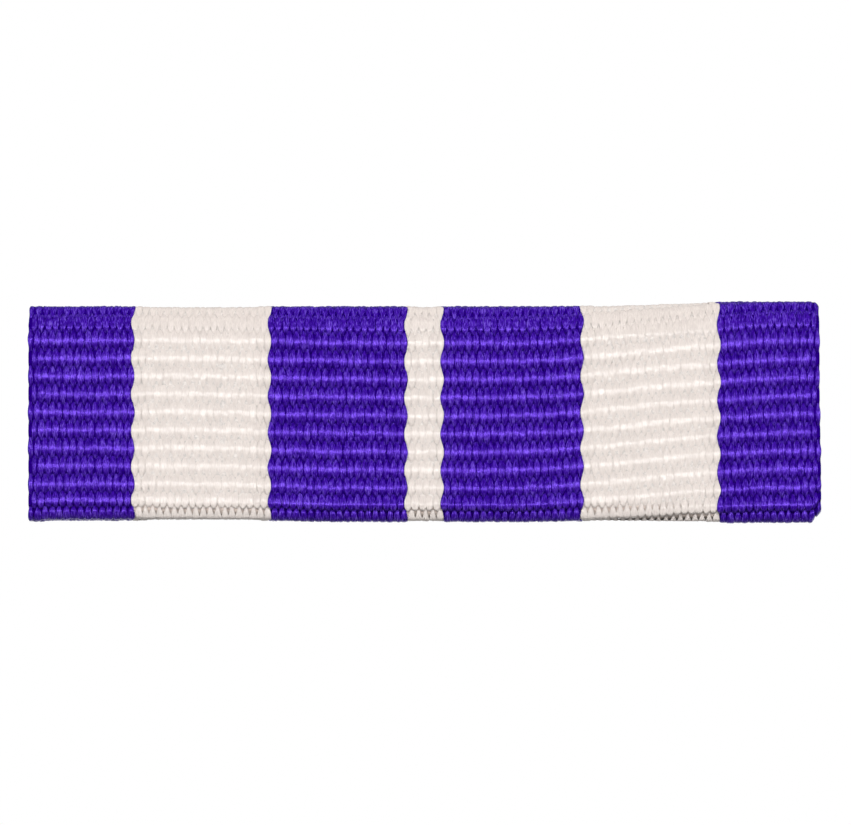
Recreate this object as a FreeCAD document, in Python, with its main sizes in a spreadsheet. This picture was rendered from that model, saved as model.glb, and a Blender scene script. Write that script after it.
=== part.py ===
import FreeCAD, Part
import Sketcher
import math
import os

# Military ribbon bar: a striped ribbon folded round a crowned core bar, a slide-on holder
# with two pointed posts, and a butterfly clutch on each post.
#
# Frame: +X along the bar (the wearer's left), +Y into the jacket, +Z up.
# The origin is the centre of the holder's back face, which lies against the cloth.
# Every size is in millimetres.

SIZES = {
    # ribbon and the crowned bar it is folded round
    "ribbon_width": 34.925,
    "ribbon_height": 9.525,
    "ribbon_thick": 0.42,
    "tuck_gap": 3.2,
    "core_length": 34.1,
    "core_thick": 1.1,
    "crown_radius": 1.9,
    "core_edge_radius": 0.2,
    "tab_width": 2.6,
    "tab_thick": 0.3,
    "tab_reach": 2.6,
    # bent brass strip of the holder and of the channel that slides on it
    "brass_thick": 0.4,
    "inner_bend": 0.1,
    "edge_round": 0.08,
    "bar_length": 34.0,
    "bar_depth": 1.05,
    "web_height": 5.0,
    "lip_height": 7.4,
    "slide_gap": 0.1,
    "channel_length": 34.0,
    "channel_height": 8.4,
    "flange_opening": 5.2,
    "stop_thick": 0.3,
    # posts
    "post_spacing": 22.0,
    "head_radius": 1.3,
    "head_thick": 0.35,
    "tenon_radius": 0.9,
    "collar_radius": 0.6,
    "collar_length": 2.1,
    "post_radius": 0.44,
    "point_start": 5.6,
    "point_end": 7.0,
    "tip_radius": 0.08,
    # clutches
    "clutch_seat": 2.15,
    "disc_radius": 4.6,
    "disc_thick": 0.3,
    "rim_round": 0.12,
    "clutch_bore": 0.5,
    "cover_radius": 3.0,
    "cover_wall": 0.3,
    "cover_height": 2.0,
    "flange_radius": 3.6,
    "flange_thick": 0.25,
    "clip_width": 1.2,
    "clip_thick": 0.25,
    "clip_reach": 0.4,
    "clip_gap": 0.05,
    "window_width": 3.8,
    "window_start": 0.65,
    "window_end": 1.7,
    "near_jaw_level": 0.9,
    "far_jaw_level": 1.35,
    "jaw_thick": 0.25,
    "jaw_width": 3.4,
    "jaw_end": 1.3,
    "jaw_bore": 0.48,
    "jaw_stroke": 0.6,
    "neck_length": 3.65,
    "wing_width": 5.6,
    "wing_bend": 3.8,
    "wing_run": 1.2,
    "wing_rise": 1.4,
    "wing_corner": 1.1,
    # how far a cutting outline runs past the edge that it cuts
    "overcut": 1.0,
}

# Faces of the stack along Y, from the cloth to the front of the ribbon.
WEB_FRONT = "(-Sizes.brass_thick)"
LIP_FRONT = "(-Sizes.bar_depth)"
LIP_BACK = f"({LIP_FRONT} + Sizes.brass_thick)"
CHANNEL_BACK = f"({LIP_FRONT} - Sizes.slide_gap)"
CHANNEL_FRONT = f"({CHANNEL_BACK} - Sizes.brass_thick)"
FLANGE_BACK = "(-Sizes.slide_gap)"
FLANGE_FRONT = f"({FLANGE_BACK} - Sizes.brass_thick)"
CORE_BACK = f"({CHANNEL_FRONT} - Sizes.ribbon_thick)"
CORE_MIDDLE = f"({CORE_BACK} - Sizes.core_thick / 2)"
CORE_FRONT = f"({CORE_BACK} - Sizes.core_thick)"

# The core bar's section: a flat front, a shoulder arc above and below it, and a small
# arc that closes each shoulder to the flat back.
ARC_STEP = "(Sizes.crown_radius - Sizes.core_edge_radius)"
SHOULDER_TURN = f"acos((Sizes.crown_radius + Sizes.core_edge_radius - Sizes.core_thick) / {ARC_STEP})"
EDGE_CENTRE = "(Sizes.ribbon_height / 2 - Sizes.ribbon_thick - Sizes.core_edge_radius)"
FRONT_HALF = f"({EDGE_CENTRE} - {ARC_STEP} * sin({SHOULDER_TURN}))"

TOLERANCE = 1e-4

OUTER_BEND = "Sizes.inner_bend + Sizes.brass_thick"
DISC_TOP = "Sizes.disc_thick"
COVER_TOP = "(Sizes.disc_thick + Sizes.cover_height)"


def make_sizes(doc):
    """The driving dimensions, one row each: name and value."""
    sheet = doc.addObject("Spreadsheet::Sheet", "Sizes")
    for row, (name, value) in enumerate(SIZES.items(), start=1):
        sheet.set(f"A{row}", name)
        sheet.set(f"B{row}", str(value))
        sheet.setAlias(f"B{row}", name)
    doc.recompute()


def new_body(doc, label):
    body = doc.addObject("PartDesign::Body", label)
    body.Label = label
    return body


def place(body, **offsets):
    """Binds the body's place, such as x="Sizes.post_spacing / 2"."""
    for axis, expression in offsets.items():
        body.setExpression(f"Placement.Base.{axis}", expression)


def origin_feature(body, role):
    return next(feature for feature in body.Origin.OriginFeatures if feature.Role == role)


def new_sketch(body, role, name):
    """A sketch on one of the body's own origin planes.
    XY: sketch x, y are X, Y. XZ: they are X, Z. YZ: they are Y, Z."""
    sketch = body.newObject("Sketcher::SketchObject", name)
    sketch.AttachmentSupport = [(origin_feature(body, role), "")]
    sketch.MapMode = "FlatFace"
    return sketch


def sketch_point(sketch, corner):
    """The point that a pair of expressions gives at the present sizes."""
    x, y = (float(sketch.evalExpression(expression)) for expression in corner)
    return FreeCAD.Vector(x, y, 0)


def fix_point(sketch, line, end, x, y):
    """Holds one end of a sketch line at the given pair of expressions."""
    for kind, expression in (("DistanceX", x), ("DistanceY", y)):
        value = float(sketch.evalExpression(expression))
        index = sketch.addConstraint(Sketcher.Constraint(kind, -1, 1, line, end, value))
        sketch.setExpression(f"Constraints[{index}]", expression)


def draw_outline(sketch, corners):
    """A closed straight-sided outline through corners given as pairs of expressions."""
    first = sketch.GeometryCount
    points = [sketch_point(sketch, corner) for corner in corners]
    count = len(points)
    for i in range(count):
        sketch.addGeometry(Part.LineSegment(points[i], points[(i + 1) % count]), False)
    for i in range(count):
        following = first + (i + 1) % count
        sketch.addConstraint(Sketcher.Constraint("Coincident", first + i, 2, following, 1))
        fix_point(sketch, first + i, 1, *corners[i])


def draw_box(sketch, x_low, x_high, y_low, y_high):
    draw_outline(sketch, [(x_low, y_low), (x_high, y_low), (x_high, y_high), (x_low, y_high)])


def draw_obround(sketch, start, end, radius):
    """Two half circles joined by straight sides; start and end are the arc centres as
    pairs of expressions, and the line between them lies along the sketch's x or y."""
    first = sketch.GeometryCount
    centres = [sketch_point(sketch, start), sketch_point(sketch, end)]
    size = float(sketch.evalExpression(radius))
    heading = math.atan2(centres[1].y - centres[0].y, centres[1].x - centres[0].x)
    side = FreeCAD.Vector(-math.sin(heading), math.cos(heading), 0) * size
    up = FreeCAD.Vector(0, 0, 1)
    quarter = math.pi / 2
    low_circle = Part.Circle(centres[0], up, size)
    high_circle = Part.Circle(centres[1], up, size)
    sketch.addGeometry(Part.ArcOfCircle(low_circle, heading + quarter, heading + 3 * quarter), False)
    sketch.addGeometry(Part.LineSegment(centres[0] - side, centres[1] - side), False)
    sketch.addGeometry(Part.ArcOfCircle(high_circle, heading - quarter, heading + quarter), False)
    sketch.addGeometry(Part.LineSegment(centres[1] + side, centres[0] + side), False)
    low_arc, low_side, high_arc, high_side = range(first, first + 4)
    for one, one_end, other, other_end in (
        (low_arc, 2, low_side, 1),
        (low_side, 2, high_arc, 1),
        (high_arc, 2, high_side, 1),
        (high_side, 2, low_arc, 1),
    ):
        sketch.addConstraint(Sketcher.Constraint("Tangent", one, one_end, other, other_end))
    fix_point(sketch, low_arc, 3, *start)
    fix_point(sketch, high_arc, 3, *end)
    index = sketch.addConstraint(Sketcher.Constraint("Radius", low_arc, size))
    sketch.setExpression(f"Constraints[{index}]", radius)


def draw_crowned(sketch, grow):
    """The core bar's section on a YZ sketch, grown outwards by the expression grow."""
    first = sketch.GeometryCount
    out = FreeCAD.Vector(0, 0, 1)
    turn = math.radians(float(sketch.evalExpression(SHOULDER_TURN)))
    big = float(sketch.evalExpression(f"Sizes.crown_radius + {grow}"))
    small = float(sketch.evalExpression(f"Sizes.core_edge_radius + {grow}"))
    shoulder_y = f"({CORE_FRONT} + Sizes.crown_radius)"
    edge_y = f"({CORE_BACK} - Sizes.core_edge_radius)"
    centres = [
        (shoulder_y, FRONT_HALF),
        (edge_y, EDGE_CENTRE),
        (edge_y, f"-{EDGE_CENTRE}"),
        (shoulder_y, f"-{FRONT_HALF}"),
    ]
    upper_shoulder, upper_edge, lower_edge, lower_shoulder = (sketch_point(sketch, c) for c in centres)
    half = math.pi
    to_front = FreeCAD.Vector(-big, 0, 0)
    to_back = FreeCAD.Vector(small, 0, 0)
    pieces = [
        Part.LineSegment(upper_shoulder + to_front, lower_shoulder + to_front),
        Part.ArcOfCircle(Part.Circle(lower_shoulder, out, big), half, half + turn),
        Part.ArcOfCircle(Part.Circle(lower_edge, out, small), half + turn, 2 * half),
        Part.LineSegment(lower_edge + to_back, upper_edge + to_back),
        Part.ArcOfCircle(Part.Circle(upper_edge, out, small), 0, half - turn),
        Part.ArcOfCircle(Part.Circle(upper_shoulder, out, big), half - turn, half),
    ]
    for piece in pieces:
        sketch.addGeometry(piece, False)
    for i in range(len(pieces)):
        following = first + (i + 1) % len(pieces)
        sketch.addConstraint(Sketcher.Constraint("Tangent", first + i, 2, following, 1))
    for arc, centre in zip((5, 4, 2, 1), centres):
        fix_point(sketch, first + arc, 3, *centre)
    index = sketch.addConstraint(Sketcher.Constraint("Radius", first + 1, big))
    sketch.setExpression(f"Constraints[{index}]", f"Sizes.crown_radius + {grow}")


def pad(body, sketch, length, name):
    """Adds material on both sides of the sketch's plane."""
    feature = body.newObject("PartDesign::Pad", name)
    feature.Profile = sketch
    feature.SideType = "Symmetric"
    feature.setExpression("Length", length)
    body.Document.recompute()
    return feature


def prove_cut(body, feature, volume_before):
    body.Document.recompute()
    if feature.Shape.Volume > volume_before - TOLERANCE:
        raise RuntimeError(f"{body.Label}: {feature.Name} cuts nothing")


def cut_through(body, sketch, name):
    """Cuts the whole body on both sides of the sketch's plane."""
    before = body.Tip.Shape.Volume
    feature = body.newObject("PartDesign::Pocket", name)
    feature.Profile = sketch
    feature.Type = "ThroughAll"
    feature.SideType = "Symmetric"
    prove_cut(body, feature, before)


def cut_from_cloth_side(body, sketch, depth, name):
    """Cuts from a sketch on the XZ plane towards -Y, as deep as the expression says."""
    before = body.Tip.Shape.Volume
    feature = body.newObject("PartDesign::Pocket", name)
    feature.Profile = sketch
    feature.Reversed = True
    feature.setExpression("Length", depth)
    prove_cut(body, feature, before)


def revolve(body, sketch, name):
    """Turns a sketch of the XY plane once round Y."""
    feature = body.newObject("PartDesign::Revolution", name)
    feature.Profile = sketch
    feature.ReferenceAxis = (sketch, ["V_Axis"])
    feature.Angle = 360
    body.Document.recompute()


def fillet(body, wanted, radius, name):
    """Rounds the edges of the body's tip for which wanted(edge) is true."""
    tip = body.Tip
    names = [f"Edge{i}" for i, edge in enumerate(tip.Shape.Edges, start=1) if wanted(edge)]
    if not names:
        raise RuntimeError(f"{body.Label}: {name} found no edge")
    feature = body.newObject("PartDesign::Fillet", name)
    feature.Base = (tip, names)
    feature.setExpression("Radius", radius)
    body.Document.recompute()


def near(value, target):
    return abs(value - target) < TOLERANCE


def runs_along(edge, direction):
    """True for a straight edge parallel to a unit vector."""
    if not isinstance(edge.Curve, Part.Line):
        return False
    return abs(edge.Curve.Direction.dot(direction)) > 0.9999


def long_edge_at(body, y, z):
    """A test for the edges along X at this depth and at this height, above or below."""
    depth = float(body.evalExpression(y))
    height = float(body.evalExpression(z))

    def wanted(edge):
        if not runs_along(edge, FreeCAD.Vector(1, 0, 0)):
            return False
        point = edge.Vertexes[0].Point
        return near(point.y, depth) and near(abs(point.z), height)

    return wanted


def any_of(*tests):
    return lambda edge: any(test(edge) for test in tests)


def make_mounting_bar(doc):
    """The holder: a hat section whose web lies on the cloth, whose two lips guide the
    channel, with stop ears at its -X end and two holes for the posts."""
    body = new_body(doc, "mounting_bar")
    web = "Sizes.web_height / 2"
    inside = f"({web} - Sizes.brass_thick)"
    lip = "Sizes.lip_height / 2"

    section = new_sketch(body, "YZ_Plane", "bar_section")
    draw_outline(section, [
        ("0", f"-{web}"),
        ("0", web),
        (LIP_BACK, web),
        (LIP_BACK, lip),
        (LIP_FRONT, lip),
        (LIP_FRONT, inside),
        (WEB_FRONT, inside),
        (WEB_FRONT, f"-{inside}"),
        (LIP_FRONT, f"-{inside}"),
        (LIP_FRONT, f"-{lip}"),
        (LIP_BACK, f"-{lip}"),
        (LIP_BACK, f"-{web}"),
    ])
    pad(body, section, "Sizes.bar_length", "bar_strip")

    inner_bends = any_of(long_edge_at(body, WEB_FRONT, inside), long_edge_at(body, LIP_BACK, web))
    outer_bends = any_of(long_edge_at(body, "0", web), long_edge_at(body, LIP_FRONT, inside))
    lip_edges = any_of(long_edge_at(body, LIP_BACK, lip), long_edge_at(body, LIP_FRONT, lip))
    fillet(body, inner_bends, "Sizes.inner_bend", "bar_inner_bends")
    fillet(body, outer_bends, OUTER_BEND, "bar_outer_bends")
    fillet(body, lip_edges, "Sizes.edge_round", "bar_lip_edges")

    # ears bent back from the lips, which the channel's flanges meet
    ear_inner = f"({web} + Sizes.slide_gap)"
    ear_outer = f"({lip} - Sizes.slide_gap)"
    ears = new_sketch(body, "YZ_Plane", "ear_section")
    ears.setExpression("AttachmentOffset.Base.z", "(Sizes.stop_thick - Sizes.bar_length) / 2")
    ear_front = f"({LIP_BACK} - Sizes.brass_thick / 2)"
    draw_box(ears, ear_front, FLANGE_BACK, ear_inner, ear_outer)
    draw_box(ears, ear_front, FLANGE_BACK, f"-{ear_outer}", f"-{ear_inner}")
    pad(body, ears, "Sizes.stop_thick", "stop_ears")

    holes = new_sketch(body, "XZ_Plane", "post_holes")
    for side in ("-", ""):
        circle = holes.addGeometry(Part.Circle(FreeCAD.Vector(0, 0, 0), FreeCAD.Vector(0, 0, 1), 1), False)
        fix_point(holes, circle, 3, f"{side}Sizes.post_spacing / 2", "0")
        index = holes.addConstraint(Sketcher.Constraint("Radius", circle, 1))
        holes.setExpression(f"Constraints[{index}]", "Sizes.tenon_radius")
    cut_through(body, holes, "post_hole_cut")
    return body


def make_slide_channel(doc):
    """The C-channel that traps the ribbon's ends and slides along the holder's lips."""
    body = new_body(doc, "slide_channel")
    outer = "Sizes.channel_height / 2"
    inner = f"({outer} - Sizes.brass_thick)"
    opening = "Sizes.flange_opening / 2"

    section = new_sketch(body, "YZ_Plane", "channel_section")
    draw_outline(section, [
        (CHANNEL_FRONT, f"-{outer}"),
        (CHANNEL_FRONT, outer),
        (FLANGE_BACK, outer),
        (FLANGE_BACK, opening),
        (FLANGE_FRONT, opening),
        (FLANGE_FRONT, inner),
        (CHANNEL_BACK, inner),
        (CHANNEL_BACK, f"-{inner}"),
        (FLANGE_FRONT, f"-{inner}"),
        (FLANGE_FRONT, f"-{opening}"),
        (FLANGE_BACK, f"-{opening}"),
        (FLANGE_BACK, f"-{outer}"),
    ])
    pad(body, section, "Sizes.channel_length", "channel_strip")

    inner_bends = any_of(long_edge_at(body, CHANNEL_BACK, inner), long_edge_at(body, FLANGE_FRONT, inner))
    outer_bends = any_of(long_edge_at(body, CHANNEL_FRONT, outer), long_edge_at(body, FLANGE_BACK, outer))
    flange_edges = any_of(long_edge_at(body, FLANGE_FRONT, opening), long_edge_at(body, FLANGE_BACK, opening))
    fillet(body, inner_bends, "Sizes.inner_bend", "channel_inner_bends")
    fillet(body, outer_bends, OUTER_BEND, "channel_outer_bends")
    fillet(body, flange_edges, "Sizes.edge_round", "channel_flange_edges")

    # the flanges stop short of the -X end, where they meet the holder's stop ears
    end = "(Sizes.channel_length / 2)"
    notch = f"({end} - Sizes.stop_thick - Sizes.slide_gap)"
    notches = new_sketch(body, "XZ_Plane", "flange_notches")
    past_end = f"-{end} - Sizes.overcut"
    inside_edge = f"({opening} - Sizes.slide_gap)"
    draw_box(notches, past_end, f"-{notch}", inside_edge, inner)
    draw_box(notches, past_end, f"-{notch}", f"-{inner}", f"-{inside_edge}")
    cut_from_cloth_side(body, notches, f"-{FLANGE_FRONT} + Sizes.slide_gap / 2", "flange_notch_cut")
    return body


def make_core_bar(doc):
    """The bar with a crowned front and a flat back that the ribbon is folded round. A tab
    at each end goes back past the channel's end and is bent over the channel's back."""
    body = new_body(doc, "core_bar")
    section = new_sketch(body, "YZ_Plane", "core_section")
    draw_crowned(section, "0")
    pad(body, section, "Sizes.core_length", "crowned_bar")

    wall = "(Sizes.core_length / 2)"
    outside = f"({wall} + Sizes.tab_thick)"
    reach = f"({wall} - Sizes.tab_reach)"
    tab_back = f"({CHANNEL_BACK} + Sizes.tab_thick)"
    for side, name in (("-", "minus_x_tab"), ("", "plus_x_tab")):
        tab = new_sketch(body, "XY_Plane", f"{name}_section")
        draw_outline(tab, [
            (f"{side}{wall}", CORE_FRONT),
            (f"{side}{outside}", CORE_FRONT),
            (f"{side}{outside}", tab_back),
            (f"{side}{reach}", tab_back),
            (f"{side}{reach}", CHANNEL_BACK),
            (f"{side}{wall}", CHANNEL_BACK),
        ])
        pad(body, tab, "Sizes.tab_width", name)

    corner_x = float(body.evalExpression(outside))

    def tab_bends(edge):
        point = edge.Vertexes[0].Point
        return runs_along(edge, FreeCAD.Vector(0, 0, 1)) and near(abs(point.x), corner_x)

    fillet(body, tab_bends, "Sizes.tab_thick / 2", "tab_bends")
    return body


def make_ribbon(doc):
    """The woven strip: one thickness folded round the core bar, with its two cut ends
    turned in behind and a gap between them."""
    body = new_body(doc, "ribbon")
    outside = new_sketch(body, "YZ_Plane", "ribbon_outside")
    draw_crowned(outside, "Sizes.ribbon_thick")
    pad(body, outside, "Sizes.ribbon_width", "folded_ribbon")

    inside = new_sketch(body, "YZ_Plane", "ribbon_inside")
    draw_crowned(inside, "0")
    cut_through(body, inside, "core_space")

    gap = new_sketch(body, "YZ_Plane", "end_gap")
    half_gap = "Sizes.tuck_gap / 2"
    draw_box(gap, CORE_MIDDLE, f"{CHANNEL_FRONT} + Sizes.overcut", f"-{half_gap}", half_gap)
    cut_through(body, gap, "gap_between_ends")
    return body


def make_post(doc, label, side):
    """A pointed post: a flat head inside the holder, a tenon in its web, a collar as
    long as the cloth is thick, a thinner shank for the clutch and a point."""
    body = new_body(doc, label)
    head = f"({WEB_FRONT} - Sizes.head_thick)"
    outline = new_sketch(body, "XY_Plane", f"{label}_outline")
    draw_outline(outline, [
        ("0", head),
        ("Sizes.head_radius", head),
        ("Sizes.head_radius", WEB_FRONT),
        ("Sizes.tenon_radius", WEB_FRONT),
        ("Sizes.tenon_radius", "0"),
        ("Sizes.collar_radius", "0"),
        ("Sizes.collar_radius", "Sizes.collar_length"),
        ("Sizes.post_radius", "Sizes.collar_length"),
        ("Sizes.post_radius", "Sizes.point_start"),
        ("Sizes.tip_radius", "Sizes.point_end"),
        ("0", "Sizes.point_end"),
    ])
    revolve(body, outline, f"{label}_turned")

    head_y = float(body.evalExpression(head))
    fillet(body, lambda edge: near(edge.BoundBox.YMax, head_y), "Sizes.head_thick / 2", f"{label}_head_round")
    place(body, x=f"{side}Sizes.post_spacing / 2")
    return body


def make_clutch_base(doc, label, side):
    """A round disc that bears on the cloth, with four clips bent over the cover's
    flange, at 45 degrees to the wings."""
    body = new_body(doc, label)
    disc = new_sketch(body, "XY_Plane", f"{label}_disc")
    draw_box(disc, "Sizes.clutch_bore", "Sizes.disc_radius", "0", DISC_TOP)
    revolve(body, disc, f"{label}_turned")

    rim = float(body.evalExpression("Sizes.disc_radius"))
    fillet(body, lambda edge: near(edge.BoundBox.XMax, rim) and near(edge.BoundBox.YLength, 0),
           "Sizes.rim_round", f"{label}_rim")

    flange_top = f"({DISC_TOP} + Sizes.flange_thick)"
    clip_top = f"({flange_top} + Sizes.clip_thick)"
    clip_inside = "(Sizes.flange_radius + Sizes.clip_gap)"
    clip_outside = f"({clip_inside} + Sizes.clip_thick)"
    clip_lip = "(Sizes.flange_radius - Sizes.clip_reach)"
    clip = new_sketch(body, "XY_Plane", f"{label}_clip_outline")
    draw_outline(clip, [
        (clip_inside, f"{DISC_TOP} / 2"),
        (clip_outside, f"{DISC_TOP} / 2"),
        (clip_outside, clip_top),
        (clip_lip, clip_top),
        (clip_lip, flange_top),
        (clip_inside, flange_top),
    ])
    clip.AttachmentOffset = FreeCAD.Placement(FreeCAD.Vector(), FreeCAD.Rotation(FreeCAD.Vector(0, 1, 0), 45))
    first = pad(body, clip, "Sizes.clip_width", f"{label}_clip")
    ring = body.newObject("PartDesign::PolarPattern", f"{label}_clips")
    ring.Originals = [first]
    ring.Axis = (origin_feature(body, "Y_Axis"), [""])
    ring.Angle = 360
    ring.Occurrences = 4
    body.Tip = ring
    doc.recompute()
    place(body, x=f"{side}Sizes.post_spacing / 2", y="Sizes.clutch_seat")
    return body


def make_clutch_cover(doc, label, side):
    """A flanged cap over the jaws, with a window on each side for the wings."""
    body = new_body(doc, label)
    roof = f"({COVER_TOP} - Sizes.cover_wall)"
    cavity = "(Sizes.cover_radius - Sizes.cover_wall)"
    flange_top = f"({DISC_TOP} + Sizes.flange_thick)"
    outline = new_sketch(body, "XY_Plane", f"{label}_outline")
    draw_outline(outline, [
        (cavity, DISC_TOP),
        ("Sizes.flange_radius", DISC_TOP),
        ("Sizes.flange_radius", flange_top),
        ("Sizes.cover_radius", flange_top),
        ("Sizes.cover_radius", COVER_TOP),
        ("Sizes.clutch_bore", COVER_TOP),
        ("Sizes.clutch_bore", roof),
        (cavity, roof),
    ])
    revolve(body, outline, f"{label}_turned")

    outside = float(body.evalExpression("Sizes.cover_radius"))
    top = float(body.evalExpression(COVER_TOP))
    fillet(body, lambda edge: near(edge.BoundBox.XMax, outside) and near(edge.BoundBox.YMin, top),
           "Sizes.cover_wall", f"{label}_shoulder")

    window = new_sketch(body, "YZ_Plane", f"{label}_window")
    half_width = "Sizes.window_width / 2"
    draw_box(window, f"{DISC_TOP} + Sizes.window_start", f"{DISC_TOP} + Sizes.window_end",
             f"-{half_width}", half_width)
    cut_through(body, window, f"{label}_windows")
    place(body, x=f"{side}Sizes.post_spacing / 2", y="Sizes.clutch_seat")
    return body


def make_wing(doc, label, side, level, faces_plus_x):
    """One jaw and its finger wing, cut from one strip: a flat jaw with a long hole round
    the post, a neck through the window, and a wide wing bent up and away from the cloth."""
    body = new_body(doc, label)
    slope = "atan(Sizes.wing_rise / Sizes.wing_run)"
    tip_x = "(Sizes.wing_bend + Sizes.wing_run)"
    profile = new_sketch(body, "XY_Plane", f"{label}_profile")
    draw_outline(profile, [
        ("-Sizes.jaw_end", "0"),
        ("Sizes.wing_bend", "0"),
        (tip_x, "Sizes.wing_rise"),
        (f"{tip_x} - Sizes.jaw_thick * sin({slope})", f"Sizes.wing_rise + Sizes.jaw_thick * cos({slope})"),
        (f"Sizes.wing_bend - Sizes.jaw_thick * tan({slope} / 2)", "Sizes.jaw_thick"),
        ("-Sizes.jaw_end", "Sizes.jaw_thick"),
    ])
    pad(body, profile, "Sizes.wing_width", f"{label}_strip")

    neck = new_sketch(body, "XZ_Plane", f"{label}_neck")
    half_neck = "Sizes.jaw_width / 2"
    half_wing = "Sizes.wing_width / 2"
    past_end = "-Sizes.jaw_end - Sizes.overcut"
    past_side = f"({half_wing} + Sizes.overcut)"
    draw_box(neck, past_end, "Sizes.neck_length", half_neck, past_side)
    draw_box(neck, past_end, "Sizes.neck_length", f"-{past_side}", f"-{half_neck}")
    cut_through(body, neck, f"{label}_neck_cut")

    slot = new_sketch(body, "XZ_Plane", f"{label}_slot")
    draw_obround(slot, ("0", "0"), ("Sizes.jaw_stroke", "0"), "Sizes.jaw_bore")
    cut_through(body, slot, f"{label}_slot_cut")

    tip = float(body.evalExpression("Sizes.wing_rise"))
    half_width = float(body.evalExpression(half_wing))

    def wing_corner(edge):
        first, last = edge.Vertexes[0].Point, edge.Vertexes[-1].Point
        at_side = near(abs(first.z), half_width) and near(first.z, last.z)
        return at_side and min(first.y, last.y) > tip - TOLERANCE

    bend = float(body.evalExpression("Sizes.wing_bend"))

    def wing_bend(edge):
        point = edge.Vertexes[0].Point
        return runs_along(edge, FreeCAD.Vector(0, 0, 1)) and near(point.y, 0) and near(point.x, bend)

    fillet(body, wing_corner, "Sizes.wing_corner", f"{label}_corners")
    fillet(body, wing_bend, "Sizes.jaw_thick", f"{label}_bend")
    if not faces_plus_x:
        body.Placement = FreeCAD.Placement(FreeCAD.Vector(), FreeCAD.Rotation(FreeCAD.Vector(0, 1, 0), 180))
    place(body, x=f"{side}Sizes.post_spacing / 2", y=f"Sizes.clutch_seat + {DISC_TOP} + {level}")
    return body


def make_parts(doc):
    bodies = [make_mounting_bar(doc), make_slide_channel(doc), make_core_bar(doc), make_ribbon(doc)]
    for name, side in (("left", "-"), ("right", "")):
        bodies.append(make_post(doc, f"{name}_post", side))
        bodies.append(make_clutch_base(doc, f"{name}_clutch_base", side))
        bodies.append(make_clutch_cover(doc, f"{name}_clutch_cover", side))
        bodies.append(make_wing(doc, f"{name}_clutch_near_wing", side, "Sizes.near_jaw_level", True))
        bodies.append(make_wing(doc, f"{name}_clutch_far_wing", side, "Sizes.far_jaw_level", False))
    doc.recompute()
    return bodies


def check(doc, bodies):
    """Stops on a failed object, and on a sub-part that isn't one valid solid."""
    for item in doc.Objects:
        if "Invalid" in item.State or "Error" in item.State:
            raise RuntimeError(f"{item.Label}: {item.State}")
    for body in bodies:
        shape = body.Shape
        if shape.isNull() or not shape.isValid() or len(shape.Solids) != 1:
            raise RuntimeError(f"{body.Label}: not one valid solid")


def export(bodies):
    os.makedirs("parts", exist_ok=True)
    for body in bodies:
        body.Shape.exportStep(f"parts/{body.Label}.step")
        box = body.Shape.BoundBox
        size = f"{box.XLength:.3f} x {box.YLength:.3f} x {box.ZLength:.3f} mm"
        print(f"{body.Label}: {size}, {body.Shape.Volume:.3f} mm3")


document = FreeCAD.newDocument("RibbonBar")
make_sizes(document)
parts = make_parts(document)
check(document, parts)
export(parts)
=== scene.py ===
import math

import bpy
import numpy as np
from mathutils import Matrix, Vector


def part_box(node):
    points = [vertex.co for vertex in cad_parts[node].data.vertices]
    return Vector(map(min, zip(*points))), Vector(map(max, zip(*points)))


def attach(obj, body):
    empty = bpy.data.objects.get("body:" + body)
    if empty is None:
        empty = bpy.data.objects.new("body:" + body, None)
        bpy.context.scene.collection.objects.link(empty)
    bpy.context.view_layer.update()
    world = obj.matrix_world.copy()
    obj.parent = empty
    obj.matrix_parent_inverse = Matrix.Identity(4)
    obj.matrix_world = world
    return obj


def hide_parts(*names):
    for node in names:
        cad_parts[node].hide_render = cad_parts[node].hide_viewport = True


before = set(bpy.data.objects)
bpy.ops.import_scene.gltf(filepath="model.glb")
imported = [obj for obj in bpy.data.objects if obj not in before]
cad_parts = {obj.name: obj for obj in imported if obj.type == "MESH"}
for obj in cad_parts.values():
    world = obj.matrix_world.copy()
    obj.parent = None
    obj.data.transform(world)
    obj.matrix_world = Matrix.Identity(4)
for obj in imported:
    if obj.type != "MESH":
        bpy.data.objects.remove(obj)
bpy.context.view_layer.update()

# A military ribbon bar. The CAD frame gives the metal; this script weaves the ribbon yarn by
# yarn round the core bar, and gives every surface its material.
# Shapes are worked out in millimetres, in the frame's axes, and written to meshes in metres.
# s is a distance along the cloth from the middle of the front, upwards positive, and x is a
# place across it.

MM = 0.001


def box_mm(node):
    low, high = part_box(node)
    return np.array(low) / MM, np.array(high) / MM


def grown(value, start, length):
    """0 up to the start, 1 once the length is past, and a smooth rise between."""
    t = np.clip((value - start) / length, 0, 1)
    return t * t * (3 - 2 * t)


def between(value, start, end, length):
    """0 outside start and end and 1 within, with a smooth change of that length at each."""
    return grown(value, start, length) * (1 - grown(value, end, length))


def blend(first, second, share):
    return first + (second - first) * share


# ---------------------------------------------------------------- sizes

ribbon_low, ribbon_high = box_mm("ribbon")
core_low, core_high = box_mm("core_bar")

# The ribbon's section, as the CAD core bar gives it
THICK = core_low[1] - ribbon_low[1]
CORE_THICK = ribbon_high[1] - ribbon_low[1] - 2 * THICK
EDGE_RADIUS = 0.2
TUCK_GAP = 3.2
HALF_WIDTH = ribbon_high[0]

# The warp: how many yarns there are, the margin outside the last one, and how much of a
# stripe is its edge
YARNS = 220
SELVAGE = 0.075
PITCH = 2 * (HALF_WIDTH - SELVAGE) / YARNS
EDGE_BAND = 2 * PITCH

# The meshes: rings along a yarn for each rib, points round it, and columns across the ground
RINGS_PER_RIB = 10
TUCKED_RINGS_PER_RIB = 5
SEGMENTS = 12
GROUND_COLUMNS = 220
GROUND_INSET = 0.07

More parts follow.
